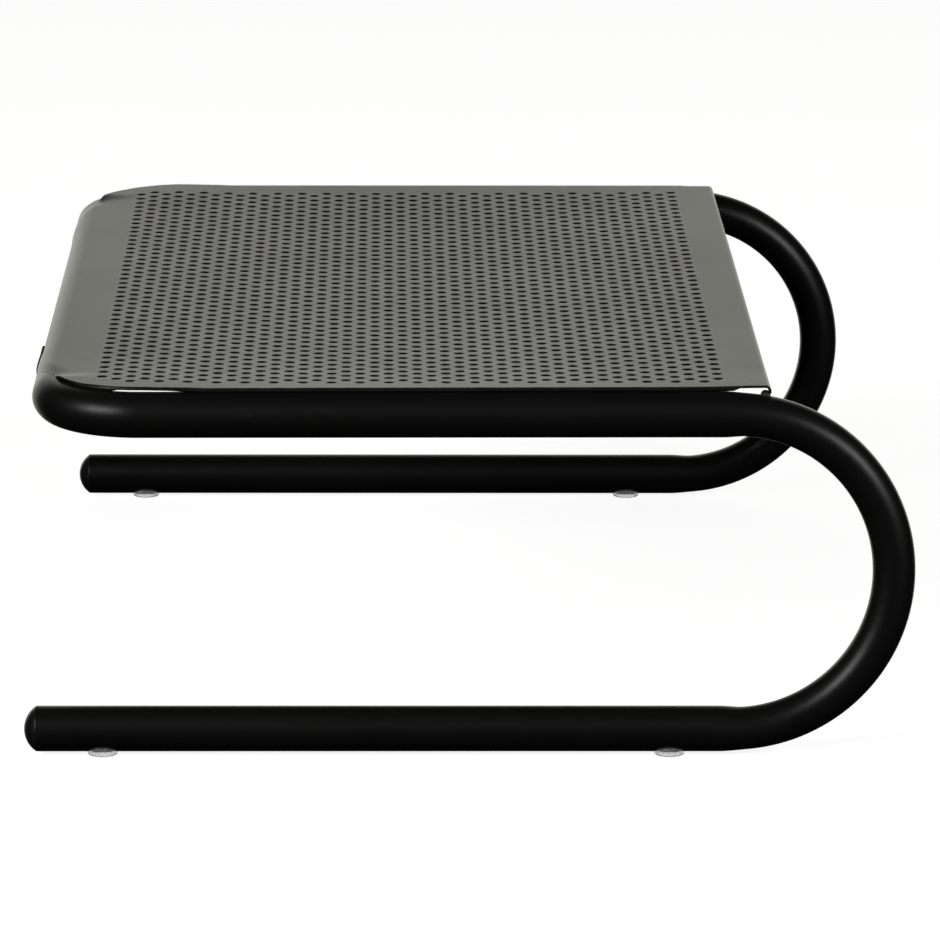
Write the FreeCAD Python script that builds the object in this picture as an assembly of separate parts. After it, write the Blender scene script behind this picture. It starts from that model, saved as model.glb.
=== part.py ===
import FreeCAD, Part

import math
import os

# Monitor riser stand: one bent steel tube carrying a perforated sheet deck.
# Millimetres.  -Y is the front, X is the width, +Z is up, the desk is Z = 0.

# Frame tube
TUBE_RADIUS = 7.3
TUBE_WALL = 1.2
LEG_X = 170.2            # centreline of a lower leg
RAIL_X = 167.6           # centreline of an upper rail, a little narrower than the legs
BEND_RADIUS = 52.0       # centreline of the C-bend that joins rail and leg
CORNER_RADIUS = 28.0     # centreline of the two front corners
HALF_LENGTH = 144.1      # from the middle to the tips of the end caps and the back of the C-bends
FRONT_TUBE_Y = -134.0    # centreline of the front cross tube

# End caps
CAP_DOME = 4.1           # depth of the domed end
CAP_BAND = 0.3           # short straight band behind the dome
CAP_FLOOR = 1.0          # solid plastic between the dome's rim and the hollow of the stem
CAP_STEM_LENGTH = 14.0
CAP_STEM_RADIUS = 5.7
CAP_STEM_BORE = 4.4
CAP_RIB_WIDTH = 1.0
CAP_RIBS = 3

# Push-in feet
FOOT_DROP = 1.2          # how far a foot holds the tube off the desk
FOOT_RADIUS = 5.0
FOOT_EDGE = 0.9          # rounding under the rim
FOOT_STEM_RADIUS = 2.0
FOOT_HOLE_RADIUS = 2.1
FOOT_BARB_RADIUS = 2.6
FOOT_BARB_TIP_RADIUS = 1.4
FOOT_BARB_LENGTH = 2.4
FOOT_BARB_CLEARANCE = 0.7   # play between the barb and the inside of the tube wall
FOOT_FRONT_Y = -118.7
FOOT_REAR_Y = 65.1

# Deck sheet
SHEET = 0.8
DECK_REAR_Y = 96.6
ROLL_INNER = 7.8         # inside radius of the front roll
ROLL_SETBACK = 0.4       # the roll's axis lies this far behind the tube's
ROLL_END_DEG = -48.0     # where the roll stops, below the front of the tube
ROLL_HALF = 119.0        # half width of the roll's free edge
ROLL_CUT_DEG = 14.0      # the roll's ends are cut back down to this height on the tube
FLANGE_DROP = 2.6        # height of the rear flange, over the sheet's top
FLANGE_BEND = 1.2        # inside radius of the rear bend
HEM_FRONT_Y = -97.0      # the side hems stop short of the front corners and the rear bend
HEM_REAR_Y = 83.0
HEM_WIDTH = 6.2          # how far the folded strip returns under the sheet

# Perforation: staggered columns running from side to side
HOLE_RADIUS = 1.65
HOLE_COLUMNS = 44
HOLES_PER_COLUMN = 43
COLUMN_PITCH = 4.614     # front to rear, between columns
HOLE_PITCH = 7.363       # side to side, within a column
FIRST_COLUMN_Y = -118.3
FIRST_HOLE_X = 158.9

# Weld tacks
RAIL_TACKS_Y = (-86.0, -32.0, 24.0, 74.0)
RAIL_TACK_LENGTH = 12.0
RAIL_TACK_RADIUS = 1.5
RAIL_TACK_INSET = 4.2    # from the crown of the rail towards the middle
RAIL_TACK_DROP = 0.9     # below the hem
ROLL_TACKS_X = (-70.0, 0.0, 70.0)
ROLL_TACK_LENGTH = 14.0
ROLL_TACK_RADIUS = 1.3
ROLL_TACK_DEG = -54.0    # on the roll's circle, just past its free edge
FLANGE_TACK_RADIUS = 1.7
FLANGE_TACK_LENGTH = 7.0
FLANGE_TACK_INSET = 3.0  # from the crown of the rail towards the middle
FLANGE_TACK_AHEAD = 0.6  # in front of the flange
FLANGE_TACK_LIFT = 0.2   # above the tube

# Blank badge on the front roll
BADGE_X = 92.5
BADGE_LENGTH = 36.0
BADGE_HEIGHT = 5.4
BADGE_THICK = 0.6

# Worked out from the above
LEG_Z = FOOT_DROP + TUBE_RADIUS
RAIL_Z = LEG_Z + 2 * BEND_RADIUS
BORE_RADIUS = TUBE_RADIUS - TUBE_WALL
BEND_Y = HALF_LENGTH - BEND_RADIUS - TUBE_RADIUS
CORNER_X = RAIL_X - CORNER_RADIUS
CORNER_Y = FRONT_TUBE_Y + CORNER_RADIUS
TUBE_END_Y = -HALF_LENGTH + CAP_DOME + CAP_BAND
HEM_UNDER_Z = RAIL_Z + TUBE_RADIUS
DECK_UNDER_Z = HEM_UNDER_Z + SHEET
DECK_TOP_Z = DECK_UNDER_Z + SHEET
ROLL_Y = FRONT_TUBE_Y + ROLL_SETBACK
ROLL_Z = DECK_UNDER_Z - ROLL_INNER
ROLL_OUTER = ROLL_INNER + SHEET
ROLL_SHOULDER = CORNER_X + math.sqrt(CORNER_RADIUS ** 2 - (CORNER_Y - ROLL_Y) ** 2)

V = FreeCAD.Vector
X_AXIS = V(1, 0, 0)
Y_AXIS = V(0, 1, 0)
Z_AXIS = V(0, 0, 1)
ORIGIN = V(0, 0, 0)


def line(a, b):
    return Part.LineSegment(a, b).toShape()


def arc(a, middle, b):
    return Part.Arc(a, middle, b).toShape()


def polar(centre, radius, degrees):
    """Point on a circle in the YZ plane; 0 degrees faces the front, 90 is straight up."""
    angle = math.radians(degrees)
    return V(centre.x, centre.y - radius * math.cos(angle), centre.z + radius * math.sin(angle))


# ---------------------------------------------------------------- frame tube

def tube_path():
    """Centreline from the right leg's end, up, round the front and down to the left leg."""
    quarter = CORNER_RADIUS * math.sin(math.radians(45))
    edges = []
    right_leg_end = V(LEG_X, TUBE_END_Y, LEG_Z)
    right_leg_bend = V(LEG_X, BEND_Y, LEG_Z)
    right_rail_bend = V(RAIL_X, BEND_Y, RAIL_Z)
    right_back = V((LEG_X + RAIL_X) / 2, BEND_Y + BEND_RADIUS, (LEG_Z + RAIL_Z) / 2)
    right_rail_end = V(RAIL_X, CORNER_Y, RAIL_Z)
    right_corner = V(CORNER_X + quarter, CORNER_Y - quarter, RAIL_Z)
    right_front = V(CORNER_X, FRONT_TUBE_Y, RAIL_Z)

    def left(point):
        return V(-point.x, point.y, point.z)

    edges.append(line(right_leg_end, right_leg_bend))
    edges.append(arc(right_leg_bend, right_back, right_rail_bend))
    edges.append(line(right_rail_bend, right_rail_end))
    edges.append(arc(right_rail_end, right_corner, right_front))
    edges.append(line(right_front, left(right_front)))
    edges.append(arc(left(right_front), left(right_corner), left(right_rail_end)))
    edges.append(line(left(right_rail_end), left(right_rail_bend)))
    edges.append(arc(left(right_rail_bend), left(right_back), left(right_leg_bend)))
    edges.append(line(left(right_leg_bend), left(right_leg_end)))
    return Part.Wire(edges)


def swept_tube(radius):
    """Solid round bar along the whole centreline."""
    circle = Part.Circle(V(LEG_X, TUBE_END_Y, LEG_Z), Y_AXIS, radius).toShape()
    return tube_path().makePipeShell([Part.Wire(circle)], True, False)


def foot_places():
    return [(side * LEG_X, y) for side in (1, -1) for y in (FOOT_FRONT_Y, FOOT_REAR_Y)]


def make_frame_tube():
    tube = swept_tube(TUBE_RADIUS).cut(swept_tube(BORE_RADIUS))
    for x, y in foot_places():
        hole = Part.makeCylinder(FOOT_HOLE_RADIUS, LEG_Z, V(x, y, 0), Z_AXIS)
        tube = tube.cut(hole)
    return tube


# ---------------------------------------------------------------- end caps

def make_end_cap(x):
    """Domed plastic plug with a ribbed, hollow stem that fills the tube's bore."""
    tip = -HALF_LENGTH
    rim = tip + CAP_DOME
    face = TUBE_END_Y
    stem_end = face + CAP_STEM_LENGTH
    sphere_radius = (TUBE_RADIUS ** 2 + CAP_DOME ** 2) / (2 * CAP_DOME)
    half_turn = math.asin(TUBE_RADIUS / sphere_radius) / 2
    dome_middle = V(sphere_radius * math.sin(half_turn),
                    tip + sphere_radius * (1 - math.cos(half_turn)), 0)
    floor = face + CAP_FLOOR
    profile = [
        arc(V(0, tip, 0), dome_middle, V(TUBE_RADIUS, rim, 0)),
        line(V(TUBE_RADIUS, rim, 0), V(TUBE_RADIUS, face, 0)),
        line(V(TUBE_RADIUS, face, 0), V(CAP_STEM_RADIUS, face, 0)),
        line(V(CAP_STEM_RADIUS, face, 0), V(CAP_STEM_RADIUS, stem_end, 0)),
        line(V(CAP_STEM_RADIUS, stem_end, 0), V(CAP_STEM_BORE, stem_end, 0)),
        line(V(CAP_STEM_BORE, stem_end, 0), V(CAP_STEM_BORE, floor, 0)),
        line(V(CAP_STEM_BORE, floor, 0), V(0, floor, 0)),
        line(V(0, floor, 0), V(0, tip, 0)),
    ]
    cap = Part.Face(Part.Wire(profile)).revolve(ORIGIN, Y_AXIS, 360)
    for index in range(CAP_RIBS):
        start = face + (index + 0.5) * CAP_STEM_LENGTH / CAP_RIBS
        rib = Part.makeCylinder(BORE_RADIUS, CAP_RIB_WIDTH, V(0, start, 0), Y_AXIS)
        core = Part.makeCylinder(CAP_STEM_BORE, CAP_RIB_WIDTH, V(0, start, 0), Y_AXIS)
        cap = cap.fuse(rib.cut(core))
    cap.translate(V(x, 0, LEG_Z))
    return cap


# ---------------------------------------------------------------- feet

def make_foot(x, y):
    """Clear button foot: saddle-topped head under the tube, barbed stem inside it."""
    wall_top = FOOT_DROP + TUBE_WALL
    barb_z = wall_top + FOOT_BARB_CLEARANCE
    barb_top = barb_z + FOOT_BARB_LENGTH
    head_top = LEG_Z - math.sqrt(TUBE_RADIUS ** 2 - FOOT_RADIUS ** 2)
    flat = FOOT_RADIUS - FOOT_EDGE
    reach = FOOT_EDGE * math.sin(math.radians(45))
    outline = [
        line(V(0, 0, 0), V(flat, 0, 0)),
        arc(V(flat, 0, 0), V(flat + reach, 0, FOOT_EDGE - reach), V(FOOT_RADIUS, 0, FOOT_EDGE)),
        line(V(FOOT_RADIUS, 0, FOOT_EDGE), V(FOOT_RADIUS, 0, head_top)),
        line(V(FOOT_RADIUS, 0, head_top), V(0, 0, head_top)),
        line(V(0, 0, head_top), V(0, 0, 0)),
    ]
    head = Part.Face(Part.Wire(outline)).revolve(ORIGIN, Z_AXIS, 360)
    tube = Part.makeCylinder(TUBE_RADIUS, 4 * FOOT_RADIUS, V(0, -2 * FOOT_RADIUS, LEG_Z), Y_AXIS)
    head = head.cut(tube)
    stem = Part.makeCylinder(FOOT_STEM_RADIUS, barb_top - FOOT_DROP / 2, V(0, 0, FOOT_DROP / 2), Z_AXIS)
    barb = Part.makeCone(FOOT_BARB_RADIUS, FOOT_BARB_TIP_RADIUS, FOOT_BARB_LENGTH, V(0, 0, barb_z), Z_AXIS)
    foot = head.fuse([stem, barb])
    foot.translate(V(x, y, 0))
    return foot


# ---------------------------------------------------------------- deck

def deck_outline():
    """Edge of the flat part: over the crowns of the rails and round the two front corners."""
    rear = DECK_REAR_Y - FLANGE_BEND - SHEET
    start = math.asin((ROLL_SHOULDER - CORNER_X) / CORNER_RADIUS)
    middle = (start + math.pi / 2) / 2

    def on_corner(side, angle):
        x = CORNER_X + CORNER_RADIUS * math.sin(angle)
        y = CORNER_Y - CORNER_RADIUS * math.cos(angle)
        return V(side * x, y, DECK_UNDER_Z)

    right = [on_corner(1, a) for a in (start, middle, math.pi / 2)]
    left = [on_corner(-1, a) for a in (start, middle, math.pi / 2)]
    rear_right = V(RAIL_X, rear, DECK_UNDER_Z)
    rear_left = V(-RAIL_X, rear, DECK_UNDER_Z)
    edges = [arc(*right), line(right[2], rear_right), line(rear_right, rear_left),
             line(rear_left, left[2]), arc(left[2], left[1], left[0]), line(left[0], right[0])]
    return Part.Wire(edges)


def hole_centres():
    """Staggered grid; the column nearest the front leaves out its first hole."""
    centres = []
    for column in range(HOLE_COLUMNS):
        y = FIRST_COLUMN_Y + column * COLUMN_PITCH
        offset = 0.5 * (column % 2)
        first = 1 if column == 0 else 0
        for place in range(first, HOLES_PER_COLUMN):
            centres.append((FIRST_HOLE_X - (place + offset) * HOLE_PITCH, y))
    return centres


def make_flat():
    down = V(0, 0, -1)
    holes = [Part.Wire(Part.Circle(V(x, y, DECK_UNDER_Z), down, HOLE_RADIUS).toShape())
             for x, y in hole_centres()]
    face = Part.Face([deck_outline()] + holes)
    return face.extrude(V(0, 0, SHEET))


def make_roll():
    """Front of the sheet, wrapped over the front tube and cut back at both ends."""
    centre = V(-ROLL_SHOULDER, ROLL_Y, ROLL_Z)
    middle = (90 + ROLL_END_DEG) / 2
    outer = [polar(centre, ROLL_OUTER, a) for a in (90, middle, ROLL_END_DEG)]
    inner = [polar(centre, ROLL_INNER, a) for a in (ROLL_END_DEG, middle, 90)]
    section = [arc(*outer), line(outer[2], inner[0]), arc(*inner), line(inner[2], outer[0])]
    roll = Part.Face(Part.Wire(section)).extrude(V(2 * ROLL_SHOULDER, 0, 0))
    cut_z = ROLL_Z + ROLL_OUTER * math.sin(math.radians(ROLL_CUT_DEG))
    for side in (1, -1):
        corners = [V(side * x, ROLL_Y - 2 * ROLL_OUTER, z) for x, z in (
            (ROLL_SHOULDER, DECK_TOP_Z), (ROLL_HALF, cut_z), (ROLL_HALF, ROLL_Z - 2 * ROLL_OUTER),
            (ROLL_SHOULDER + ROLL_OUTER, ROLL_Z - 2 * ROLL_OUTER), (ROLL_SHOULDER + ROLL_OUTER, DECK_TOP_Z))]
        waste = Part.Face(Part.makePolygon(corners + corners[:1])).extrude(V(0, 4 * ROLL_OUTER, 0))
        roll = roll.cut(waste)
    return roll


def make_flange():
    """Rear edge of the sheet, bent down to stand on the tube."""
    outer = FLANGE_BEND + SHEET
    centre = V(-RAIL_X, DECK_REAR_Y - outer, DECK_TOP_Z - outer)
    bottom = DECK_TOP_Z - FLANGE_DROP
    outside = [polar(centre, outer, a) for a in (90, 135, 180)]
    inside = [polar(centre, FLANGE_BEND, a) for a in (180, 135, 90)]
    foot_out = V(-RAIL_X, DECK_REAR_Y, bottom)
    foot_in = V(-RAIL_X, DECK_REAR_Y - SHEET, bottom)
    section = [arc(*outside), line(outside[2], foot_out), line(foot_out, foot_in),
               line(foot_in, inside[0]), arc(*inside), line(inside[2], outside[0])]
    return Part.Face(Part.Wire(section)).extrude(V(2 * RAIL_X, 0, 0))


def make_hem(side):
    """Side edge of the sheet, folded flat under itself to rest on the rail."""
    def at(x, z):
        return V(side * x, HEM_FRONT_Y, z)

    inner = RAIL_X - HEM_WIDTH
    section = [arc(at(RAIL_X, DECK_TOP_Z), at(RAIL_X + SHEET, DECK_UNDER_Z), at(RAIL_X, HEM_UNDER_Z)),
               line(at(RAIL_X, HEM_UNDER_Z), at(inner, HEM_UNDER_Z)),
               line(at(inner, HEM_UNDER_Z), at(inner, DECK_UNDER_Z)),
               line(at(inner, DECK_UNDER_Z), at(RAIL_X, DECK_UNDER_Z)),
               line(at(RAIL_X, DECK_UNDER_Z), at(RAIL_X, DECK_TOP_Z))]
    return Part.Face(Part.Wire(section)).extrude(V(0, HEM_REAR_Y - HEM_FRONT_Y, 0))


def make_deck_panel():
    return make_flat().fuse([make_roll(), make_flange(), make_hem(1), make_hem(-1)])


# ---------------------------------------------------------------- welds

def bead(start, direction, length, radius):
    """Weld bead: a short round bar with rounded ends."""
    end = start + direction * length
    bar = Part.makeCylinder(radius, length, start, direction)
    return bar.fuse([Part.makeSphere(radius, start), Part.makeSphere(radius, end)])


def make_rail_welds(side):
    """Tacks in the corner between a rail and the underside of the hem."""
    rail = Part.makeCylinder(TUBE_RADIUS, 2 * HALF_LENGTH, V(side * RAIL_X, -HALF_LENGTH, RAIL_Z), Y_AXIS)
    above = Part.makeBox(4 * LEG_X, 4 * HALF_LENGTH, LEG_X, V(-2 * LEG_X, -2 * HALF_LENGTH, HEM_UNDER_Z))
    x = side * (RAIL_X - RAIL_TACK_INSET)
    tacks = []
    for y in RAIL_TACKS_Y:
        start = V(x, y - RAIL_TACK_LENGTH / 2, HEM_UNDER_Z - RAIL_TACK_DROP)
        tacks.append(bead(start, Y_AXIS, RAIL_TACK_LENGTH, RAIL_TACK_RADIUS).cut(rail).cut(above))
    return Part.makeCompound(tacks)


def make_roll_welds():
    """Tacks along the free edge of the front roll, underneath the front tube."""
    tube = Part.makeCylinder(TUBE_RADIUS, 2 * LEG_X, V(-LEG_X, FRONT_TUBE_Y, RAIL_Z), X_AXIS)
    shell = make_roll()
    tacks = []
    for x in ROLL_TACKS_X:
        centre = V(x - ROLL_TACK_LENGTH / 2, ROLL_Y, ROLL_Z)
        start = polar(centre, ROLL_INNER, ROLL_TACK_DEG)
        tacks.append(bead(start, X_AXIS, ROLL_TACK_LENGTH, ROLL_TACK_RADIUS).cut(tube).cut(shell))
    return Part.makeCompound(tacks)


def make_flange_weld(side):
    """Tack in the corner between the rear flange and the top of the tube."""
    tube_top = RAIL_Z - BEND_RADIUS + math.sqrt(
        (BEND_RADIUS + TUBE_RADIUS) ** 2 - (DECK_REAR_Y - BEND_Y) ** 2)
    start = V(side * (RAIL_X - FLANGE_TACK_INSET) - FLANGE_TACK_LENGTH / 2,
              DECK_REAR_Y - SHEET - FLANGE_TACK_AHEAD, tube_top + FLANGE_TACK_LIFT)
    tack = bead(start, X_AXIS, FLANGE_TACK_LENGTH, FLANGE_TACK_RADIUS)
    tack = tack.cut(swept_tube(TUBE_RADIUS)).cut(make_flange())
    behind = Part.makeBox(LEG_X, LEG_X, LEG_X, V(start.x - LEG_X / 2, DECK_REAR_Y - SHEET, 0))
    return tack.cut(behind)


# ---------------------------------------------------------------- badge

def make_badge_plate():
    """Blank oval plate lying on the curve of the front roll."""
    centre = V(BADGE_X - BADGE_LENGTH / 2, ROLL_Y, ROLL_Z)
    ring = Part.makeCylinder(ROLL_OUTER + BADGE_THICK, BADGE_LENGTH, centre, X_AXIS)
    ring = ring.cut(Part.makeCylinder(ROLL_OUTER, BADGE_LENGTH, centre, X_AXIS))
    oval = Part.Ellipse(V(BADGE_X, ROLL_Y - 2 * ROLL_OUTER, ROLL_Z), BADGE_LENGTH / 2, BADGE_HEIGHT / 2)
    oval = Part.Wire(oval.toShape())
    oval.rotate(V(BADGE_X, ROLL_Y - 2 * ROLL_OUTER, ROLL_Z), X_AXIS, 90)
    punch = Part.Face(oval).extrude(V(0, 2 * ROLL_OUTER, 0))
    return ring.common(punch)


# ---------------------------------------------------------------- output

def save(name, shape):
    shape.exportStep("parts/" + name + ".step")
    box = shape.BoundBox
    print("%-20s solids %3d  valid %s  volume %9.1f  x %.1f..%.1f  y %.1f..%.1f  z %.1f..%.1f" % (
        name, len(shape.Solids), shape.isValid(), shape.Volume,
        box.XMin, box.XMax, box.YMin, box.YMax, box.ZMin, box.ZMax))


os.makedirs("parts", exist_ok=True)
save("frame_tube", make_frame_tube())
save("deck_panel", make_deck_panel())
save("front_roll_welds", make_roll_welds())
save("badge_plate", make_badge_plate())
for side, side_name in ((1, "right"), (-1, "left")):
    save("rail_welds_" + side_name, make_rail_welds(side))
    save("flange_weld_" + side_name, make_flange_weld(side))
    save("end_cap_" + side_name, make_end_cap(side * LEG_X))
    save("foot_front_" + side_name, make_foot(side * LEG_X, FOOT_FRONT_Y))
    save("foot_rear_" + side_name, make_foot(side * LEG_X, FOOT_REAR_Y))
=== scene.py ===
import math

import bpy
from mathutils import Matrix, Vector, noise


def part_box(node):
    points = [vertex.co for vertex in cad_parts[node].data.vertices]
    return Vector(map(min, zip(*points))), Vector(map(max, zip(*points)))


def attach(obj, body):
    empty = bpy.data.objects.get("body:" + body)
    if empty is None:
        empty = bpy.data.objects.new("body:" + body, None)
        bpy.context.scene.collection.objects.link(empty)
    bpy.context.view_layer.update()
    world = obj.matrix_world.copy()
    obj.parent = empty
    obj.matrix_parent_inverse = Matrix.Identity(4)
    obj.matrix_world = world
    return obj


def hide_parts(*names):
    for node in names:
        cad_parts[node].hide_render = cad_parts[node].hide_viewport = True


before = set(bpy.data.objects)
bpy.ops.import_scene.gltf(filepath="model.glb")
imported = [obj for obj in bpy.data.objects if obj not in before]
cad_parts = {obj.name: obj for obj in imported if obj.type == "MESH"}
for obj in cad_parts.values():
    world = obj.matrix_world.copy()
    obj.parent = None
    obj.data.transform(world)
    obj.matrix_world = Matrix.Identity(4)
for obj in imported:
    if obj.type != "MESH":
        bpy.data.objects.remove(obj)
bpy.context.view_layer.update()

MM = 0.001

# ------------------------------------------------------------------ sizes from the frame

cap_low, cap_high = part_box("end_cap_right")
tube_low, tube_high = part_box("frame_tube")
_, deck_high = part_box("deck_panel")
badge_low, badge_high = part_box("badge_plate")

PAINT = 0.12 * MM                        # baked coat over the bare tube
TUBE_R = (cap_high.x - cap_low.x) / 2 + PAINT
LEG_X = (cap_high.x + cap_low.x) / 2
LEG_Z = (cap_high.z + cap_low.z) / 2
TIP_Y = cap_low.y
RAIL_Z = tube_high.z - TUBE_R + PAINT
FRONT_Y = tube_low.y + TUBE_R - PAINT
BACK_Y = tube_high.y
DECK_REAR_Y = deck_high.y

# ------------------------------------------------------------------ sizes of the stand

RAIL_X = 167.6 * MM                      # centreline of an upper rail
RAIL_LIFT = math.radians(0.10)           # the rails climb a little to the rear
LIFT_FROM_Y = -20.0 * MM                 # where the climbing rails have their stated height
TUBE_WALL = 1.2 * MM
C_RISE = (RAIL_Z - LEG_Z) / 2            # half the height of the C-bend's centreline
C_REACH = 51.44 * MM                     # the bend is a touch shallower than it is high
C_SQUASH = 0.93                          # a bent tube thins across the plane of its bend
C_SHIFT = {1: -0.3 * MM, -1: 0.4 * MM}   # the two bends were not made quite alike
CORNER_R = 28.0 * MM
CORNER_SQUASH = 0.975                    # the same, in the two front corners
CORNER_BOW = 0.4 * MM                    # the front tube stands forward near its two corners
BOW_START, BOW_RUN = 88.0 * MM, 18.0 * MM
EASE = 9.0 * MM                          # length over which a round tube becomes oval
CAP_DEPTH = 4.4 * MM                     # from the cap's tip to the tube's end

C_Y = BACK_Y - C_REACH - (TUBE_R - PAINT) * C_SQUASH
CORNER_X = RAIL_X - CORNER_R
CORNER_Y = FRONT_Y + CORNER_R
TUBE_END_Y = TIP_Y + CAP_DEPTH

SHEET = 0.8 * MM
TOP_Z = RAIL_Z + TUBE_R - PAINT + 2 * SHEET   # the sheet lies on its own folded hems
DECK_SAG = 2.6 * MM                      # dish of the sheet between its four edges
SAG_MIDDLE_Y = -22.0 * MM
SAG_ACROSS, SAG_ALONG = 2.6, 2.1         # how flat the dish is towards its middle
FRONT_DIP = 0.9 * MM                     # the sheet comes down to the front tube
FRONT_RAMP = 18.0 * MM
ROLL_TOP = TUBE_R + 2 * SHEET - FRONT_DIP
ROLL_FACE = TUBE_R + 0.2 * MM            # the sheet is drawn tight over the face of the tube
ROLL_EDGE = TUBE_R + 0.75 * MM
ROLL_SEAT = TUBE_R + 0.07 * MM           # its ends are dressed down on to the tube
ROLL_MID = 7.6 * MM                      # radius at which the roll's length is counted
ROLL_END = math.radians(-48)             # its free edge, below the front of the tube
ROLL_FLARE = 14                          # degrees above the front where the roll starts to widen
ROLL_HALF = 119.0 * MM                   # half width of the rolled front edge
ROLL_SHOULDER = 143.9 * MM               # half width where the roll leaves the flat
SEAT_LENGTH = 12.0 * MM                  # the dressed-down stretch at each end of the roll
SEAT_REACH = 5.5 * MM
REAR_TAPER = 0.9 * MM                    # the sheet narrows by this much on each side
REAR_CURL = 0.3 * MM                     # the right rear corner is bent up a little
FLANGE_DROP = 2.7 * MM
FLANGE_INNER = 1.0 * MM
FLANGE_MID = FLANGE_INNER + SHEET / 2
EDGE_ROUND = 0.16 * MM
HEM_FRONT_Y = -97.0 * MM                 # the hems stop short of the corners
HEM_REAR_Y = 85.5 * MM
HEM_WIDTH = 6.0 * MM
HEM_CORNER, HEM_THIN = 1.14, 0.72        # thickness of the edge round the corner and just after it
HEM_SPRING = 0.45 * MM                   # the hems stand off the tube just behind the corners
SPRING_Y, SPRING_HALF = -105.0 * MM, 19.0 * MM
HEM_OUT = (0.75 * MM, 0.0 * MM)          # how far the hem's fold stands out, front and rear

HOLE_R = 1.74 * MM
COLUMNS = 44
HOLES = 43
COLUMN_PITCH = 4.614 * MM
HOLE_PITCH = 7.363 * MM
FIRST_COLUMN_Y = -118.3 * MM
FIRST_HOLE_X = 158.9 * MM
RIM_POINTS = 14                          # a hole's rim matches the border of its grid cell

BADGE_SHIFT = 3.5 * MM                   # the plate sits off the middle of its place
BADGE_HALF_Z = 2.7 * MM
BADGE_THICK = 0.8 * MM
BADGE_BACK = 0.02 * MM                   # its back lies this deep in the paint

WELD_R = 1.5 * MM
RAIL_WELD_YS = (-86, -32, 24, 74)        # middles of the tacks, in millimetres
RAIL_WELD = 12.0 * MM
FLANGE_WELD = 7.0 * MM
ROLL_WELD_XS = (-70, 0, 70)
ROLL_WELD = 14.0 * MM


def smooth(t):
    t = min(1.0, max(0.0, t))
    return t * t * (3 - 2 * t)


def mix(a, b, t):
    return a + (b - a) * t


# ------------------------------------------------------------------ mesh helpers

def new_piece(name, verts, faces, material, slot, replaces, sharp=None):
    """One object from vertex and face lists, riding on the stand's only body."""
    mesh = bpy.data.meshes.new(name)
    mesh.from_pydata([tuple(v) for v in verts], [], faces)
    mesh.validate()
    mesh.polygons.foreach_set("use_smooth", [True] * len(mesh.polygons))
    if sharp is not None:
        mark_sharp(mesh, sharp)
    mesh.materials.append(material)
    mesh.update()
    piece = bpy.data.objects.new(name, mesh)
    bpy.context.scene.collection.objects.link(piece)
    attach(piece, "root")
    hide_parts(*replaces)
    return piece


def mark_sharp(mesh, degrees):
    """Edges whose two faces meet more steeply than this stay crisp."""
    mesh.update()
    limit = math.cos(math.radians(degrees))
    normals = [p.normal.copy() for p in mesh.polygons]
    sides = {}
    for polygon in mesh.polygons:
        for key in polygon.edge_keys:
            sides.setdefault(key, []).append(polygon.index)
    flags = []
    for edge in mesh.edges:
        pair = sides.get(edge.key, [])
        flags.append(len(pair) == 2 and normals[pair[0]].dot(normals[pair[1]]) < limit)
    mesh.edges.foreach_set("use_edge_sharp", flags)


def ring_faces(first, second, count):
    """Quads between two rings of the same count, given their first vertex numbers."""
    return [(first + i, first + (i + 1) % count, second + (i + 1) % count, second + i)
            for i in range(count)]


def lathe(profile, segments, place):
    """Turned solid: profile is a list of (radius, height) from one axis point to the other."""
    verts = []
    rings = []
    for radius, height in profile:
        rings.append((len(verts), radius > 0))
        if radius > 0:
            for i in range(segments):
                a = 2 * math.pi * i / segments
                verts.append(place(radius * math.cos(a), radius * math.sin(a), height))
        else:
            verts.append(place(0, 0, height))
    faces = []
    for (a, a_ring), (b, b_ring) in zip(rings, rings[1:]):
        if a_ring and b_ring:
            faces += ring_faces(a, b, segments)
        elif b_ring:
            faces += [(a, b + (i + 1) % segments, b + i) for i in range(segments)]
        elif a_ring:
            faces += [(a + i, a + (i + 1) % segments, b) for i in range(segments)]
    return verts, faces


# ------------------------------------------------------------------ frame tube

def lift(y):
    """Height that the rails and the sheet gain at y by climbing to the rear."""
    return (y - LIFT_FROM_Y) * math.tan(RAIL_LIFT)


def bow(x):
    """How far the front tube comes forward at x, towards its two corners."""
    return CORNER_BOW * smooth((abs(x) - BOW_START) / BOW_RUN)


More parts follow.
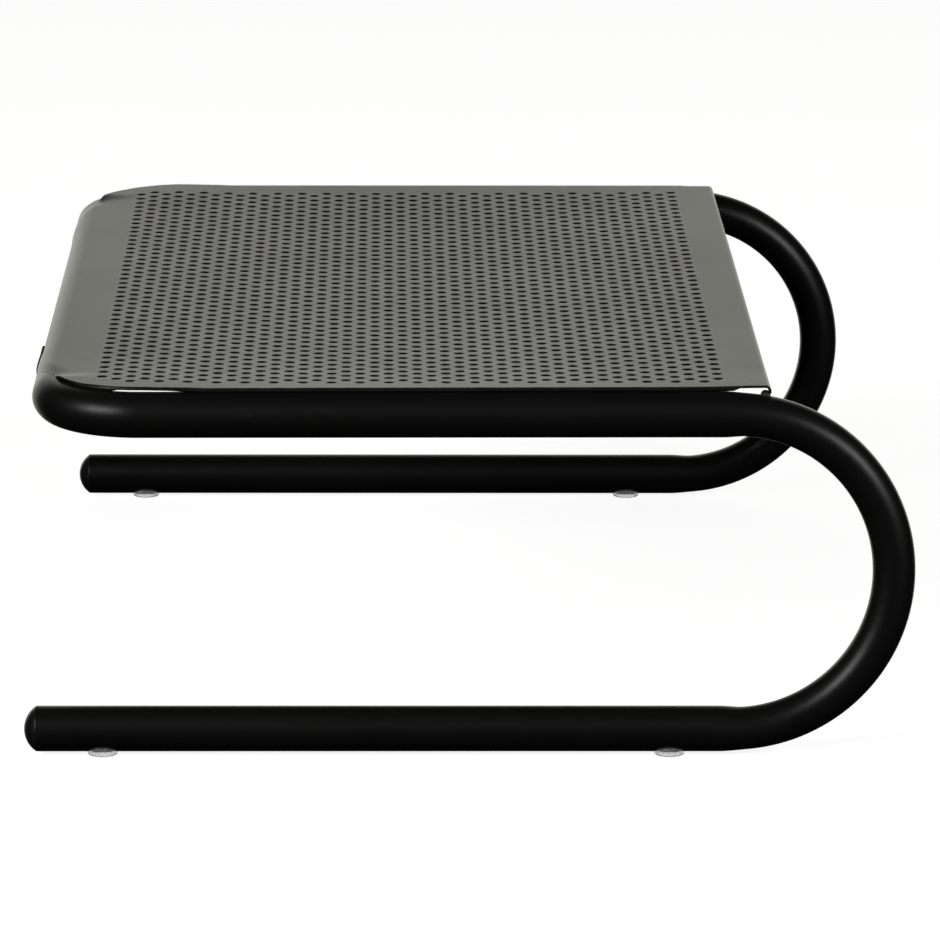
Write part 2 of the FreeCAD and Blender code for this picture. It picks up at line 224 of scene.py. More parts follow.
def half_path(shift):
    """Stations along the right half of the tube: point, tangent, bend normal, squash."""
    stations = []
    bend_y = C_Y + shift

    def straight(a, b, normal, steps, ease_start=None, ease_end=None):
        run = b - a
        length = run.length
        tangent = run.normalized()
        marks = {i / steps for i in range(steps + 1)}
        for ease, from_end in ((ease_start, False), (ease_end, True)):
            if ease:
                for i in range(7):
                    t = i / 6 * EASE / 2 / length
                    marks.add(1 - t if from_end else t)
        for t in sorted(marks):
            squash = 1.0
            if ease_start:
                squash = mix(ease_start, squash, smooth(0.5 + t * length / EASE))
            if ease_end:
                squash = min(squash, mix(ease_end, 1.0, smooth(0.5 + (1 - t) * length / EASE)))
            stations.append((a + run * t, tangent, normal, squash))

    leg_end = Vector((LEG_X, TUBE_END_Y, LEG_Z))
    leg_bend = Vector((LEG_X, bend_y, LEG_Z))
    rail_bend = Vector((RAIL_X, bend_y, RAIL_Z))
    rail_end = Vector((RAIL_X, CORNER_Y, RAIL_Z))
    front = Vector((CORNER_X, FRONT_Y, RAIL_Z))
    middle = Vector((0, FRONT_Y, RAIL_Z))
    lean = (rail_bend - leg_bend).normalized()

    straight(leg_end, leg_bend, -lean, 24, ease_end=C_SQUASH)
    steps = 72
    for i in range(1, steps):
        a = -math.pi / 2 + math.pi * i / steps
        s, c = math.sin(a), math.cos(a)
        centre = (leg_bend + rail_bend) / 2
        point = centre + lean * (C_RISE * s) + Vector((0, C_REACH * c, 0))
        point.x = mix(LEG_X, RAIL_X, (s + 1) / 2)
        tangent = (lean * (C_RISE * c) + Vector((0, -C_REACH * s, 0))).normalized()
        normal = (lean * (C_REACH * s) + Vector((0, C_RISE * c, 0))).normalized()
        from_end = min(a + math.pi / 2, math.pi / 2 - a) * C_RISE
        squash = mix(1.0, C_SQUASH, smooth(0.5 + from_end / EASE))
        stations.append((point, tangent, normal, squash))
    straight(rail_bend, rail_end, lean, 20, ease_start=C_SQUASH)
    steps = 36
    for i in range(1, steps):
        a = math.pi / 2 * i / steps
        radial = Vector((math.cos(a), -math.sin(a), 0))
        point = Vector((CORNER_X, CORNER_Y, RAIL_Z)) + radial * CORNER_R
        tangent = Vector((-math.sin(a), -math.cos(a), 0))
        from_end = min(a, math.pi / 2 - a) * CORNER_R
        squash = mix(1.0, CORNER_SQUASH, smooth(from_end / EASE))
        stations.append((point, tangent, radial, squash))
    straight(front, middle, Vector((0, -1, 0)), 16)
    for point, _, _, _ in stations:
        point.z += lift(point.y) * (point.z - LEG_Z) / (RAIL_Z - LEG_Z)
        point.y -= bow(point.x) * smooth(-point.y / (90 * MM)) * smooth((point.z - LEG_Z) / C_RISE)
    return stations


def whole_path():
    right = half_path(C_SHIFT[1])
    other = half_path(C_SHIFT[-1])
    flip = Matrix.Scale(-1, 3, (1, 0, 0))
    left = [(flip @ p, -(flip @ t), flip @ n, k) for p, t, n, k in reversed(other[:-1])]
    return right + left


def make_frame_tube(material):
    """One hollow tube, round in its straight runs and slightly oval in its bends."""
    segments = 72
    path = whole_path()
    sides = []
    across = Vector((1, 0, 0))
    for point, tangent, normal, squash in path:
        across = (across - tangent * across.dot(tangent)).normalized()
        along = tangent.cross(across)
        sides.append((point, across.copy(), along, normal, squash))

    def ring(station, radius):
        point, u, v, normal, squash = station
        out = []
        for i in range(segments):
            a = 2 * math.pi * i / segments
            arm = u * (radius * math.cos(a)) + v * (radius * math.sin(a))
            arm += normal * (arm.dot(normal) * (squash - 1))
            out.append(point + arm)
        return out

    verts = []
    starts = []
    bore = TUBE_R - PAINT - TUBE_WALL
    for station in sides:
        starts.append(len(verts))
        verts += ring(station, TUBE_R)
    outer_count = len(starts)
    for station in reversed(sides):
        starts.append(len(verts))
        verts += ring(station, bore)
    faces = []
    for a, b in zip(starts, starts[1:]):
        if a == starts[outer_count - 1]:
            continue
        faces += ring_faces(a, b, segments)
    faces += ring_faces(starts[outer_count - 1], starts[outer_count], segments)
    faces += ring_faces(starts[-1], starts[0], segments)
    new_piece("frame_tube_body", verts, faces, material, "black_tube", ("frame_tube",), sharp=50)


# ------------------------------------------------------------------ end caps

def make_end_cap(side_name, side, material):
    """Domed plug; its joint with the tube shows as a fine groove."""
    groove = 0.16 * MM
    flat = CAP_DEPTH - 0.45 * MM
    sphere = (TUBE_R ** 2 + flat ** 2) / (2 * flat)
    rim = math.asin(TUBE_R / sphere)
    profile = [(0, 0)]
    for i in range(1, 25):
        a = rim * i / 24
        profile.append((sphere * math.sin(a) * (1 - 0.004 * (i / 24) ** 6), sphere * (1 - math.cos(a))))
    stem = TUBE_R - TUBE_WALL - 0.35 * MM
    rib = TUBE_R - TUBE_WALL - 0.02 * MM
    bore = stem - 1.3 * MM
    profile += [(TUBE_R, flat + 0.12 * MM), (TUBE_R, CAP_DEPTH - groove),
                (TUBE_R - groove, CAP_DEPTH - 0.03 * MM), (stem, CAP_DEPTH - 0.03 * MM)]
    for i in range(3):
        start = CAP_DEPTH + (2.2 + 4.4 * i) * MM
        profile += [(stem, start), (rib, start + 0.2 * MM), (rib, start + 0.8 * MM), (stem, start + 1.4 * MM)]
    end = CAP_DEPTH + 14 * MM
    profile += [(stem, end - 0.3 * MM), (stem - 0.3 * MM, end), (bore, end),
                (bore, CAP_DEPTH + 1.0 * MM), (0, CAP_DEPTH + 1.0 * MM)]

    def place(a, b, height):
        return Vector((side * LEG_X + a, TIP_Y + height, LEG_Z - b))

    verts, faces = lathe(profile, 72, place)
    name = "end_cap_" + side_name
    new_piece(name + "_dome", verts, faces, material, "cap", (name,), sharp=35)


# ------------------------------------------------------------------ feet

def make_foot(node, material):
    """Clear button with a softly domed sole and a saddle that fits the tube."""
    low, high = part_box(node)
    x0 = (low.x + high.x) / 2
    y0 = (low.y + high.y) / 2
    radius = (high.y - low.y) / 2
    segments = 64
    edge = 0.9 * MM
    sole = [(radius - edge) * i / 8 for i in range(1, 9)]
    verts = [Vector((x0, y0, low.z))]
    starts = []

    def add_ring(r, height):
        starts.append(len(verts))
        for i in range(segments):
            a = 2 * math.pi * i / segments
            x, y = r * math.cos(a), r * math.sin(a)
            verts.append(Vector((x0 + x, y0 + y, height(x, y))))

    def saddle(x, y):
        return LEG_Z - math.sqrt(TUBE_R ** 2 - x * x)

    for r in sole:
        add_ring(r, lambda x, y: low.z)
    for i in range(1, 9):
        a = math.pi / 2 * i / 8
        r = radius - edge + edge * math.sin(a)
        z = low.z + edge * (1 - math.cos(a))
        add_ring(r, lambda x, y: min(z, saddle(x, y)))
    for i in range(1, 4):
        t = i / 3
        add_ring(radius, lambda x, y: mix(low.z + edge, saddle(x, y) - 0.12 * MM, t))
    for r in (radius - 0.05 * MM, radius - 0.2 * MM, radius * 0.8, radius * 0.5, radius * 0.2):
        add_ring(r, lambda x, y: saddle(x, y))
    top = len(verts)
    verts.append(Vector((x0, y0, saddle(0, 0))))
    faces = [(starts[0] + (i + 1) % segments, starts[0] + i, 0) for i in range(segments)]
    for a, b in zip(starts, starts[1:]):
        faces += ring_faces(a, b, segments)
    last = starts[-1]
    faces += [(last + i, last + (i + 1) % segments, top) for i in range(segments)]
    new_piece(node + "_button", verts, faces, material, "clear_foot", (node,), sharp=50)


# ------------------------------------------------------------------ deck

ROLL_LENGTH = (math.pi / 2 - ROLL_END) * ROLL_MID
FLAT_END_Y = DECK_REAR_Y - FLANGE_INNER - SHEET
FLAT_LENGTH = FLAT_END_Y - FRONT_Y
BEND_LENGTH = math.pi / 2 * FLANGE_MID
FLANGE_LENGTH = FLANGE_DROP - FLANGE_INNER - SHEET
BLANK_LENGTH = ROLL_LENGTH + FLAT_LENGTH + BEND_LENGTH + FLANGE_LENGTH


def flat_section(v, depth):
    """Point of the level sheet's cross-section at length v past the roll, below its outside."""
    if v < FLAT_LENGTH:
        return FRONT_Y + v, TOP_Z - depth
    v -= FLAT_LENGTH
    r = FLANGE_INNER + SHEET - depth
    z0 = TOP_Z - FLANGE_INNER - SHEET
    if v < BEND_LENGTH:
        a = v / FLANGE_MID
        return FLAT_END_Y + r * math.sin(a), z0 + r * math.cos(a)
    v -= BEND_LENGTH
    return FLAT_END_Y + r, z0 - v


def half_width(v):
    """Half the blank's width at length v: narrow roll, rounded corners, then straight edges."""
    if v < ROLL_LENGTH:
        a = math.degrees(ROLL_END + v / ROLL_MID)
        if a < ROLL_FLARE:
            return ROLL_HALF
        return mix(ROLL_HALF, ROLL_SHOULDER, (a - ROLL_FLARE) / (90 - ROLL_FLARE))
    y = FRONT_Y + v - ROLL_LENGTH
    if y >= CORNER_Y:
        return mix(RAIL_X, RAIL_X - REAR_TAPER, (y - CORNER_Y) / (DECK_REAR_Y - CORNER_Y))
    return max(ROLL_SHOULDER, CORNER_X + math.sqrt(max(0.0, CORNER_R ** 2 - (CORNER_Y - y) ** 2)))


def sag(x, y):
    """How far the middle of the sheet hangs below its edges."""
    across = 1 - min(1.0, abs(x / RAIL_X)) ** SAG_ACROSS
    end = DECK_REAR_Y if y > SAG_MIDDLE_Y else FRONT_Y
    along = (y - SAG_MIDDLE_Y) / (end - SAG_MIDDLE_Y)
    return DECK_SAG * across * (1 - min(1.0, along) ** SAG_ALONG)


def settle(x, y):
    """Change in the height of the sheet at x, y from the level blank."""
    corner = smooth((abs(x) - ROLL_SHOULDER + 0.5 * MM) / (7 * MM))
    dip = FRONT_DIP * (1 - smooth((y - FRONT_Y) / FRONT_RAMP)) * (1 - corner)
    reach = SEAT_LENGTH if abs(x) < ROLL_SHOULDER else SEAT_REACH
    seat = 1 - smooth(math.hypot((abs(x) - ROLL_SHOULDER) / reach, (y - FRONT_Y) / SEAT_REACH))
    curl = REAR_CURL * smooth((x - 140 * MM) / (27 * MM)) * smooth((y - 70 * MM) / (26 * MM))
    near_edge = smooth(abs(x) / (40 * MM) - 3)
    spring = HEM_SPRING * near_edge * max(0.0, 1 - abs(y - SPRING_Y) / SPRING_HALF) ** 0.6
    change = curl + spring - dip - sag(x, y)
    seated = RAIL_Z + ROLL_SEAT - TOP_Z
    return mix(change, seated, seat) + lift(y)


def roll_radius(x, a):
    """Outside of the roll, from the tube's axis, at x and at angle a above the front."""
    free = mix(ROLL_FACE, ROLL_TOP, smooth(a / (math.pi / 2)))
    if a < 0:
        free = mix(ROLL_FACE, ROLL_EDGE, smooth((-a - 0.08) / 0.35))
    v = (a - ROLL_END) * ROLL_MID
    room = half_width(min(v, ROLL_LENGTH - 1e-9)) - abs(x)
    return mix(ROLL_SEAT, free, smooth(room / SEAT_LENGTH))


def deck_point(x, v, depth):
    """Place on the finished sheet of a point on the blank."""
    if v < ROLL_LENGTH:
        a = ROLL_END + v / ROLL_MID
        r = roll_radius(x, a) - depth
        return Vector((x, FRONT_Y - bow(x) - r * math.cos(a), RAIL_Z + r * math.sin(a) + lift(FRONT_Y)))
    y, z = flat_section(v - ROLL_LENGTH, depth)
    forward = bow(x) * (1 - smooth((y - FRONT_Y) / (22 * MM)))
    return Vector((x, y - forward, z + settle(x, y)))


def make_deck(material):
    """The sheet as one skin: top, underside, punched walls and rounded edges."""
    quarter = HOLE_PITCH / 4
    across = 4 * HOLES + 2                    # quarter pitches over the perforated width
    near = FIRST_HOLE_X + HOLE_PITCH / 2
    inner = [near - k * quarter for k in range(across + 1)]
    first_v = ROLL_LENGTH + FIRST_COLUMN_Y - COLUMN_PITCH / 2 - FRONT_Y
    last_v = first_v + COLUMNS * COLUMN_PITCH

    def spread(a, b, steps, power=1):
        return [mix(a, b, (i / steps) ** power) for i in range(steps)]

    end = EDGE_ROUND
    rows = spread(end, ROLL_LENGTH, 24) + spread(ROLL_LENGTH, first_v, 12, 1.7)
    hole_row = len(rows)
    rows += spread(first_v, last_v, 3 * COLUMNS)
    flat_v = ROLL_LENGTH + FLAT_LENGTH
    rows += spread(last_v, flat_v, 6) + spread(flat_v, flat_v + BEND_LENGTH, 6)
    rows += spread(flat_v + BEND_LENGTH, BLANK_LENGTH - end, 1) + [BLANK_LENGTH - end]

    margin = 4
    wide = max(half_width(v) for v in rows)
    hold = 100 * MM

    def x_at(k, v):
        """Column k's place in row v; outer columns close in where the blank is narrow."""
        limit = half_width(v) - end
        t = min(1.0, k / margin, (across + 2 * margin - k) / margin)
        side = 1 if k < margin else -1
        if limit > near + 0.3 * MM:
            if t < 1:
                return mix(side * limit, near if side > 0 else inner[-1], t)
            return inner[k - margin]
        full = inner[k - margin] if t == 1 else mix(side * (wide - end), near if side > 0 else inner[-1], t)
        if abs(full) <= hold:
            return full
        return math.copysign(hold + (abs(full) - hold) * (limit - hold) / (wide - end - hold), full)

    count = across + 2 * margin + 1
    verts = []
    grid = {}
    for face, depth in (("top", 0.0), ("under", SHEET)):
        for i, v in enumerate(rows):
            for k in range(count):
                grid[face, i, k] = len(verts)
                verts.append(deck_point(x_at(k, v), v, depth))

    faces = []

    def quad(face, i, k):
        loop = [grid[face, i, k], grid[face, i, k + 1], grid[face, i + 1, k + 1], grid[face, i + 1, k]]
        faces.append(tuple(loop if face == "top" else loop[::-1]))

    holed = set()
    rim_points = set()
    for column in range(COLUMNS):
        v0 = first_v + (column + 0.5) * COLUMN_PITCH
        row = hole_row + 3 * column
        for place in range(1 if column == 0 else 0, HOLES):
            k0 = margin + 4 * place + 2 * (column % 2)
            x0 = FIRST_HOLE_X - (place + 0.5 * (column % 2)) * HOLE_PITCH
            holed.add((row, k0))
            border = [(row, k0 + s) for s in range(4)] + [(row + s, k0 + 4) for s in range(3)]
            border += [(row + 3, k0 + 4 - s) for s in range(4)] + [(row + 3 - s, k0) for s in range(3)]
            rims = []
            start = math.atan2(-1.5, 2.0 * 1.2)
            for depth in (0.0, SHEET):
                rims.append(len(verts))
                for s in range(RIM_POINTS):
                    a = start - 2 * math.pi * s / RIM_POINTS
                    verts.append(deck_point(x0 + HOLE_R * math.cos(a), v0 + HOLE_R * math.sin(a), depth))
            rim_points.update(range(rims[0], rims[0] + RIM_POINTS))
            for s in range(RIM_POINTS):
                n = (s + 1) % RIM_POINTS
                b0, b1 = border[s], border[n]
                faces.append((grid["top", b0[0], b0[1]], grid["top", b1[0], b1[1]],
                              rims[0] + n, rims[0] + s))
                faces.append((grid["under", b1[0], b1[1]], grid["under", b0[0], b0[1]],
                              rims[1] + s, rims[1] + n))
                faces.append((rims[0] + s, rims[0] + n, rims[1] + n, rims[1] + s))
    covered = {(row + r, k + s) for row, k in holed for r in range(3) for s in range(4)}
    for i in range(len(rows) - 1):
        for k in range(count - 1):
            if (i, k) not in covered:
                quad("top", i, k)
                quad("under", i, k)

    border = [(0, k) for k in range(count - 1)] + [(i, count - 1) for i in range(len(rows) - 1)]
    border += [(len(rows) - 1, k) for k in range(count - 1, 0, -1)]
    border += [(i, 0) for i in range(len(rows) - 1, 0, -1)]
    rings = [[grid["top", i, k] for i, k in border]]
    quarter_turn = [math.pi / 2 * n / 4 for n in range(1, 5)]
    plain = [(end * math.sin(a), end * (1 - math.cos(a))) for a in quarter_turn]
    plain += [(end, mix(end, SHEET - end, t)) for t in (0.25, 0.5, 0.75)]
    plain += [(end * math.cos(a), SHEET - end * (1 - math.sin(a))) for a in [0.0] + quarter_turn[:3]]
    nose = [math.pi * n / 8 for n in range(9)]
    fold = [(SHEET * math.sin(a), SHEET * (1 - math.cos(a))) for a in nose]
    fold += [(-HEM_WIDTH, 2 * SHEET), (-HEM_WIDTH, SHEET * 1.05)]
    first_hem = ROLL_LENGTH + HEM_FRONT_Y - FRONT_Y
    last_hem = ROLL_LENGTH + HEM_REAR_Y - FRONT_Y
    for step in range(len(plain)):
        ring = []
        for i, k in border:
            v = rows[i]
            ox = 1 if k == 0 else -1 if k == count - 1 else 0
            ov = -1 if i == 0 else 1 if i == len(rows) - 1 else 0
            out, depth = plain[step]
            if ox and ROLL_LENGTH < v < last_hem:
                along = max(0.0, (v - first_hem) / (last_hem - first_hem))
                folded = smooth((v - ROLL_LENGTH) / (12 * MM))
                round_end = 1 - smooth((v - ROLL_LENGTH) / (first_hem - ROLL_LENGTH))
                far_out, far_depth = fold[step]
                far_out += end + mix(mix(*HEM_OUT, along) if ox > 0 else HEM_OUT[0], -SHEET, round_end)
                far_depth *= mix(HEM_CORNER, HEM_THIN, smooth((v - first_hem + 19 * MM) / (4 * MM)))
                far_depth *= mix(1, 1 / HEM_THIN, smooth((v - first_hem + 1 * MM) / (12 * MM)))
                out, depth = mix(out, far_out, folded), mix(depth, far_depth, folded)
                lean = min(0.0, FRONT_Y + v - ROLL_LENGTH - CORNER_Y) / CORNER_R
                ox, ov = ox * math.sqrt(1 - min(1.0, lean * lean)), lean
            ring.append(len(verts))
            verts.append(deck_point(x_at(k, v) + ox * out, v + ov * out, depth))
        rings.append(ring)
    rings.append([grid["under", i, k] for i, k in border])
    total = len(border)
    for a, b in zip(rings, rings[1:]):
        faces += [(a[s], b[s], b[(s + 1) % total], a[(s + 1) % total]) for s in range(total)]
    edge_points = {n for ring in rings[:5] for n in ring} | rim_points
    piece = new_piece("deck_sheet", verts, faces, material, "black_deck", ("deck_panel",), sharp=40)
    edge = piece.data.attributes.new("edge", "FLOAT", "POINT")
    edge.data.foreach_set("value", [1.0 if n in edge_points else 0.0 for n in range(len(verts))])


# ------------------------------------------------------------------ welds and badge

def weld_bead(start, axis, side, length, radius, seed):
    """Closed bead with the shallow ripples that a welder leaves along it."""
    steps, segments = 34, 18
    up = axis.cross(side)
    verts = [start - axis * radius * 0.9]
    for i in range(steps + 1):
        t = i / steps
        s = t * length
        ripple = 0.07 * math.sin(2 * math.pi * s / (1.15 * MM))
        swell = 1 + ripple + 0.10 * noise.noise(Vector((s * 400, seed, 0)))
        nose = min(1.0, math.sqrt(max(0.05, min(t, 1 - t) * 9)))
        for k in range(segments):
            a = 2 * math.pi * k / segments
            arm = side * math.cos(a) + up * math.sin(a)
            verts.append(start + axis * s + arm * radius * swell * nose)
    verts.append(start + axis * (length + radius * 0.9))
    faces = [(0, 1 + (k + 1) % segments, 1 + k) for k in range(segments)]
    for i in range(steps):
        faces += ring_faces(1 + i * segments, 1 + (i + 1) * segments, segments)
    tail = 1 + steps * segments
    faces += [(tail + k, tail + (k + 1) % segments, len(verts) - 1) for k in range(segments)]
    return verts, faces


def joined(parts):
    verts, faces = [], []
    for part_verts, part_faces in parts:
        base = len(verts)
        verts += part_verts
        faces += [tuple(base + n for n in face) for face in part_faces]
    return verts, faces


def make_welds(material):
    """Tacks under the rails' edges, under the free edge of the roll and at the rear corners."""
    along_x, along_y, up = Vector((1, 0, 0)), Vector((0, 1, 0)), Vector((0, 0, 1))
    for side_name, side in (("right", 1), ("left", -1)):
        beads = []
        for n, y in enumerate(RAIL_WELD_YS):
            z = RAIL_Z + TUBE_R - 0.9 * MM + lift(y * MM)
            start = Vector((side * (RAIL_X - 4.2 * MM), (y - 6) * MM, z))
            beads.append(weld_bead(start, along_y, up, RAIL_WELD, WELD_R, n + side))
        node = "rail_welds_" + side_name
        new_piece(node + "_beads", *joined(beads), material, "weld", (node,))

        low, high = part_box("flange_weld_" + side_name)
        mid = (low + high) / 2
        start = Vector((mid.x - FLANGE_WELD / 2, high.y - 0.9 * MM, low.z + 0.9 * MM))
        node = "flange_weld_" + side_name
        bead = weld_bead(start, along_x, up, FLANGE_WELD, WELD_R, 7 + side)
        new_piece(node + "_bead", *bead, material, "weld", (node,))
    beads = []
    for n, x in enumerate(ROLL_WELD_XS):
        a = ROLL_END - math.radians(4)
        r = TUBE_R + 0.3 * MM
        start = Vector((x * MM - ROLL_WELD / 2, FRONT_Y - r * math.cos(a), RAIL_Z + r * math.sin(a)))
        beads.append(weld_bead(start, along_x, up, ROLL_WELD, 1.3 * MM, 11 + n))
    new_piece("front_roll_weld_beads", *joined(beads), material, "weld", ("front_roll_welds",))


def make_badge(material):
    """Blank oval plate with a pillowed face, bent to the roll it is stuck on; its near-black dull face also
    paints the shadow gap along the roll's edge.
    """
    half_x = (badge_high.x - badge_low.x) / 2
    x_mid = (badge_high.x + badge_low.x) / 2 - BADGE_SHIFT
    rings, segments = 14, 96
    verts = []

    def place(reach, turn, height):
        x = x_mid + half_x * reach * math.cos(turn)
        a = BADGE_HALF_Z * reach * math.sin(turn) / ROLL_FACE
        r = roll_radius(x, a) + height * (0.95 - 0.2 * (x - x_mid) / half_x)
        return Vector((x, FRONT_Y - bow(x) - r * math.cos(a), RAIL_Z + r * math.sin(a) + lift(FRONT_Y)))

    verts.append(place(0, 0, BADGE_THICK))
    starts = []
    shape = [(n / rings, BADGE_THICK * (1 - 0.12 * (n / rings) ** 2)) for n in range(1, rings - 1)]
    rim = ((0.955, 0.84), (0.975, 0.74), (0.99, 0.55), (1.0, 0.3))
    shape += [(reach, BADGE_THICK * share) for reach, share in rim] + [(1.0, -BADGE_BACK)]
    for reach, height in shape:
        starts.append(len(verts))
        for k in range(segments):
            verts.append(place(reach, 2 * math.pi * k / segments, height))
    faces = [(0, starts[0] + k, starts[0] + (k + 1) % segments) for k in range(segments)]
    for a, b in zip(starts, starts[1:]):
        faces += [f[::-1] for f in ring_faces(a, b, segments)]
    verts.append(place(0, 0, -BADGE_BACK))
    last = starts[-1]
    faces += [(last + (k + 1) % segments, last + k, len(verts) - 1) for k in range(segments)]
    new_piece("badge_plate_face", verts, faces, material, "badge", ("badge_plate",), sharp=60)


# ------------------------------------------------------------------ finishes

class Value:
    """A number on a node socket, so that shader maths reads as ordinary maths."""

    def __init__(self, finish, socket):
        self.finish = finish
        self.socket = socket

    def _math(self, operation, *terms):
        return self.finish.node("ShaderNodeMath", {"operation": operation}, dict(enumerate(terms)))[0]

    def __add__(self, other):
        return self._math("ADD", self, other)

    def __radd__(self, other):
        return self._math("ADD", other, self)

    def __sub__(self, other):
        return self._math("SUBTRACT", self, other)

    def __rsub__(self, other):
        return self._math("SUBTRACT", other, self)

    def __mul__(self, other):
        return self._math("MULTIPLY", self, other)

    def __rmul__(self, other):
        return self._math("MULTIPLY", other, self)

    def clamp(self):
        return self.finish.node("ShaderNodeClamp", {}, {"Value": self})[0]

    def ramp(self, low, high, to_low=0.0, to_high=1.0):
        """Remap a stretch of the value smoothly on to another."""
        inputs = {"Value": self, "From Min": low, "From Max": high, "To Min": to_low, "To Max": to_high}
        return self.finish.node("ShaderNodeMapRange", {"interpolation_type": "SMOOTHSTEP"}, inputs)[0]


class Finish:
    """One node tree; node() is the only way a node is added."""

    def __init__(self, tree):
        self.tree = tree
        tree.nodes.clear()

    def node(self, kind, settings, inputs):
        made = self.tree.nodes.new(kind)
        for name, value in settings.items():
            setattr(made, name, value)
        for name, value in inputs.items():
            socket = made.inputs[name]
            if isinstance(value, Value):
                self.tree.links.new(value.socket, socket)
            else:
                socket.default_value = value
        return [Value(self, socket) for socket in made.outputs]

    def position(self):
        return self.node("ShaderNodeTexCoord", {}, {})[3]

    def noise(self, scale, detail=3.0, roughness=0.55, at=None):
        """Even fractal noise; scale is in cells per metre."""
        inputs = {"Vector": at or self.position(), "Scale": scale, "Detail": detail, "Roughness": roughness}
        return self.node("ShaderNodeTexNoise", {}, inputs)[0]

    def mix_colour(self, factor, a, b):
        return self.node("ShaderNodeMix", {"data_type": "RGBA"}, {"Factor": factor, "A": a, "B": b})[2]

    def bump(self, height, strength, distance):
        inputs = {"Height": height, "Strength": strength, "Distance": distance}
        return self.node("ShaderNodeBump", {}, inputs)[0]


def make_finish(name, paint, **constants):
    """Material whose paint(finish) gives the links for its Principled shader."""
    material = bpy.data.materials.new(name)
    material.use_nodes = True
    finish = Finish(material.node_tree)
    inputs = {key.replace("_", " "): value for key, value in constants.items()}
    inputs.update(paint(finish))
    shader = finish.node("ShaderNodeBsdfPrincipled", {}, inputs)[0]
    finish.node("ShaderNodeOutputMaterial", {}, {"Surface": shader})
    return material


def grey(value, warm=0.0):
    return (value * (1 + warm), value, value * (1 - warm), 1.0)


def tube_coat(f):
    peel = f.noise(520, 2.0)
    cloud = f.noise(22, 3.0)
    fleck = f.noise(3800, 1.0).ramp(0.70, 0.80)
    scuff = f.noise(90, 6.0, 0.7).ramp(0.60, 0.78)
    colour = f.mix_colour(cloud, grey(0.0075, 0.02), grey(0.0115, 0.03))
    colour = f.mix_colour(fleck * 0.35, colour, grey(0.06, 0.04))
    rough = 0.33 + 0.05 * cloud + 0.10 * scuff + 0.02 * peel
    height = peel * 0.8 + f.noise(2600, 2.0) * 0.2
    return {"Base Color": colour, "Roughness": rough, "Normal": f.bump(height, 0.35, 0.00006)}


def deck_coat(f):
    peel = f.noise(480, 2.0)
    cloud = f.noise(16, 4.0)
    fleck = f.noise(3400, 1.0).ramp(0.68, 0.80)
    scuff = f.noise(70, 7.0, 0.72).ramp(0.58, 0.80)
    edge = f.node("ShaderNodeAttribute", {"attribute_name": "edge"}, {})[2]
    worn = (edge * f.noise(260, 4.0).ramp(0.42, 0.68)).clamp()
    colour = f.mix_colour(cloud, grey(0.009, 0.05), grey(0.013, 0.04))
    colour = f.mix_colour(fleck * 0.4, colour, grey(0.11, 0.03))
    colour = f.mix_colour(worn * 0.35, colour, grey(0.07, 0.02))
    rough = 0.35 + 0.05 * cloud + 0.06 * scuff - 0.06 * worn
    height = peel * 0.8 + f.noise(2400, 2.0) * 0.2
    return {"Base Color": colour, "Roughness": rough, "Normal": f.bump(height, 0.4, 0.00006)}


def weld_coat(f):
    lumps = f.noise(900, 4.0)
    cloud = f.noise(160, 3.0)
    colour = f.mix_colour(cloud, grey(0.03, 0.02), grey(0.085, 0.02))
    rough = 0.34 + 0.2 * lumps
    return {"Base Color": colour, "Roughness": rough, "Normal": f.bump(lumps, 0.6, 0.00015)}


def cap_plastic(f):
    grain = f.noise(2200, 2.0)
    cloud = f.noise(60, 3.0)
    scuff = f.noise(240, 6.0, 0.7).ramp(0.58, 0.78)
    colour = f.mix_colour(cloud, grey(0.012), grey(0.017))
    colour = f.mix_colour(scuff * 0.3, colour, grey(0.035))
    rough = 0.36 + 0.08 * scuff + 0.04 * grain
    return {"Base Color": colour, "Roughness": rough, "Normal": f.bump(grain, 0.25, 0.00004)}


# near-black, dull colour: the plate's own black, kept this dark so that it also paints the shadow gap along
# the roll's edge
def badge_dark_and_painted_shade(f):
    haze = f.noise(60, 4.0)
    grain = f.noise(1800, 4.0, 0.7)
    colour = f.mix_colour(haze, grey(0.005), grey(0.009))
    rough = 0.72 + 0.15 * grain
    return {"Base Color": colour, "Roughness": rough, "Normal": f.bump(grain, 0.3, 0.00004)}


def foot_silicone(f):
    cloud = f.noise(300, 3.0)
    dust = f.noise(900, 5.0, 0.65).ramp(0.55, 0.75)
    colour = f.mix_colour(cloud, (0.86, 0.88, 0.88, 1), (0.93, 0.94, 0.94, 1))
    colour = f.mix_colour(dust * 0.25, colour, (0.72, 0.72, 0.70, 1))
    rough = 0.16 + 0.10 * cloud + 0.15 * dust
    return {"Base Color": colour, "Roughness": rough, "Normal": f.bump(cloud, 0.2, 0.00005)}


def floor_paper(f):
    tooth = f.noise(900, 3.0)
    colour = f.mix_colour(tooth, grey(0.80), grey(0.83))
    return {"Base Color": colour, "Roughness": 0.85 + 0.1 * tooth}


# ------------------------------------------------------------------ studio

def make_floor():
    """Pale sweep of paper that glows softly, so shadows on it stay faint."""
    paper = make_finish("floor_paper", floor_paper, Emission_Color=(1, 1, 1, 1), Emission_Strength=0.86)
    size = 5.0
    mesh = bpy.data.meshes.new("floor_sheet")
    corners = [(-size, -size, 0), (size, -size, 0), (size, size, 0), (-size, size, 0)]
    mesh.from_pydata(corners, [], [(0, 1, 2, 3)])
    mesh.materials.append(paper)
    floor = bpy.data.objects.new("floor_sheet", mesh)
    bpy.context.scene.collection.objects.link(floor)
    floor.visible_glossy = False
    floor.visible_diffuse = False


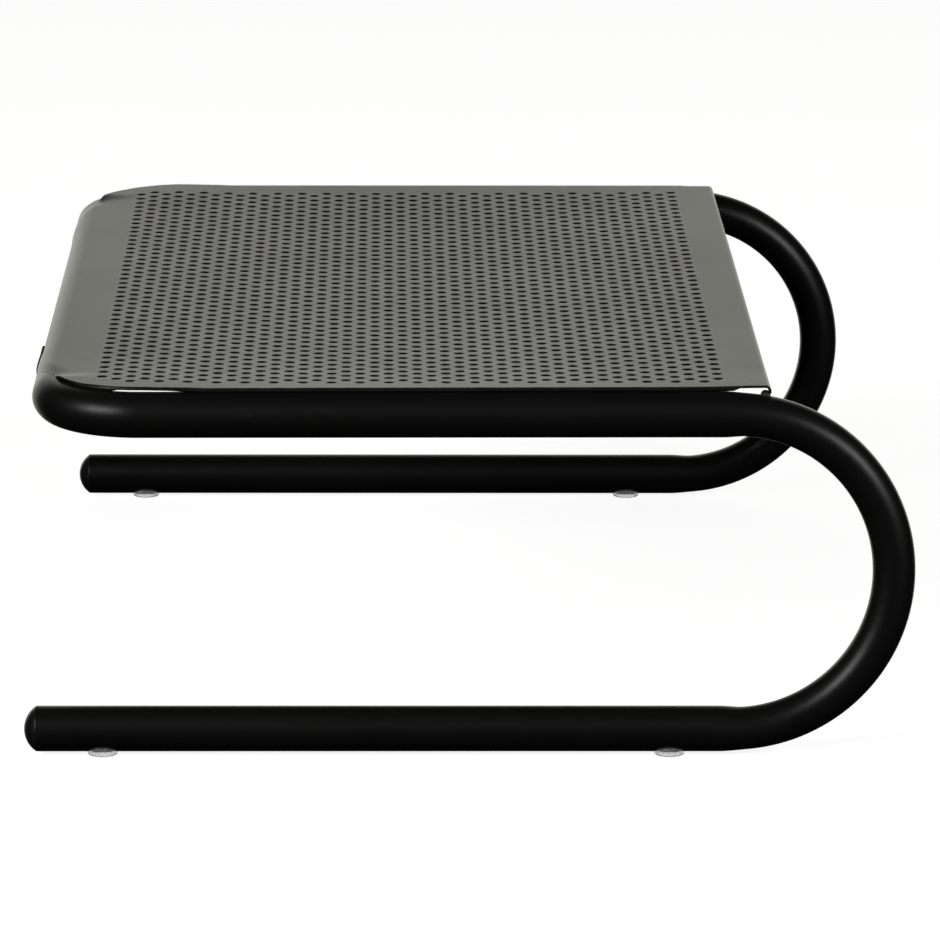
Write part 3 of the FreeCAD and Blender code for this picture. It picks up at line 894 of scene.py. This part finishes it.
def make_softbox(name, direction, watts, aim):
    """Lamp behind a diffusing sheet, out of the camera's sight."""
    distance, width, height = 2.5, 1.2, 0.8
    data = bpy.data.lights.new(name, "AREA")
    data.shape = "RECTANGLE"
    data.size = width
    data.size_y = height
    data.energy = watts
    box = bpy.data.objects.new(name, data)
    box.location = aim + Vector(direction).normalized() * distance
    box.rotation_euler = (-Vector(direction)).to_track_quat("-Z", "Y").to_euler()
    bpy.context.scene.collection.objects.link(box)
    box.visible_camera = False


def make_surroundings():
    """Dark studio with one broad pale wall on the left side of the stand."""
    world = bpy.data.worlds.new("studio")
    bpy.context.scene.world = world
    world.use_nodes = True
    f = Finish(world.node_tree)
    coordinates = f.node("ShaderNodeTexCoord", {}, {})[0]
    axes = f.node("ShaderNodeSeparateXYZ", {}, {"Vector": coordinates})
    wall = (0 - axes[0]).ramp(0.74, 0.97) * axes[2].ramp(0.06, 0.23, 1.75, 1.0)
    wall = wall * axes[2].ramp(-0.50, -0.30) * axes[2].ramp(0.30, 0.85, 1.0, 0.0)
    glow = 0.003 + 0.94 * wall
    seen = f.node("ShaderNodeLightPath", {}, {})[0]
    strength = glow * (1 - seen) + seen
    tint = f.mix_colour(seen, (1.0, 1.0, 0.91, 1), (1, 1, 1, 1))
    background = f.node("ShaderNodeBackground", {}, {"Color": tint, "Strength": strength})[0]
    f.node("ShaderNodeOutputWorld", {}, {"Surface": background})


def make_camera():
    """Long lens, a little above the deck, looking along the width from the right side."""
    azimuth = math.radians(89.0991)
    elevation = math.radians(14.0)
    roll = math.radians(0.2529)
    distance = 1.9725
    target = Vector((0, 0.00268, 0.05243))
    back = Vector((math.sin(azimuth) * math.cos(elevation), -math.cos(azimuth) * math.cos(elevation),
                   math.sin(elevation)))
    right = (-back).cross(Vector((0, 0, 1))).normalized()
    up = right.cross(-back)
    right, up = (right * math.cos(roll) + up * math.sin(roll), up * math.cos(roll) - right * math.sin(roll))
    data = bpy.data.cameras.new("view")
    data.lens = 214.67
    data.sensor_width = 36.0
    data.clip_start = 0.05
    data.clip_end = 50
    camera = bpy.data.objects.new("view", data)
    turn = Matrix((right, up, back)).transposed().to_4x4()
    camera.matrix_world = Matrix.Translation(target + back * distance) @ turn
    bpy.context.scene.collection.objects.link(camera)
    bpy.context.scene.camera = camera


# ------------------------------------------------------------------ the stand

make_frame_tube(make_finish("tube_coat", tube_coat))
make_deck(make_finish("deck_coat", deck_coat))
make_welds(make_finish("weld_coat", weld_coat))
# the plate's near-black colour and weak specular also paint the shadow gap along the roll's edge
make_badge(make_finish("badge_dark_and_painted_shade", badge_dark_and_painted_shade, Specular_IOR_Level=0.12))
cap_material = make_finish("cap_plastic", cap_plastic)
foot_material = make_finish("foot_silicone", foot_silicone, Transmission_Weight=0.8, IOR=1.42)
for side_name, side in (("right", 1), ("left", -1)):
    make_end_cap(side_name, side, cap_material)
    make_foot("foot_front_" + side_name, foot_material)
    make_foot("foot_rear_" + side_name, foot_material)

make_floor()
make_surroundings()
make_softbox("front_softbox", (0.60, -0.654, 0.461), 20, Vector((0.17, -0.12, 0.11)))
make_softbox("rear_softbox", (0.58, 0.69, 0.43), 16, Vector((0.17, 0.12, 0.10)))
make_camera()
bpy.context.scene.view_settings.view_transform = "Standard"
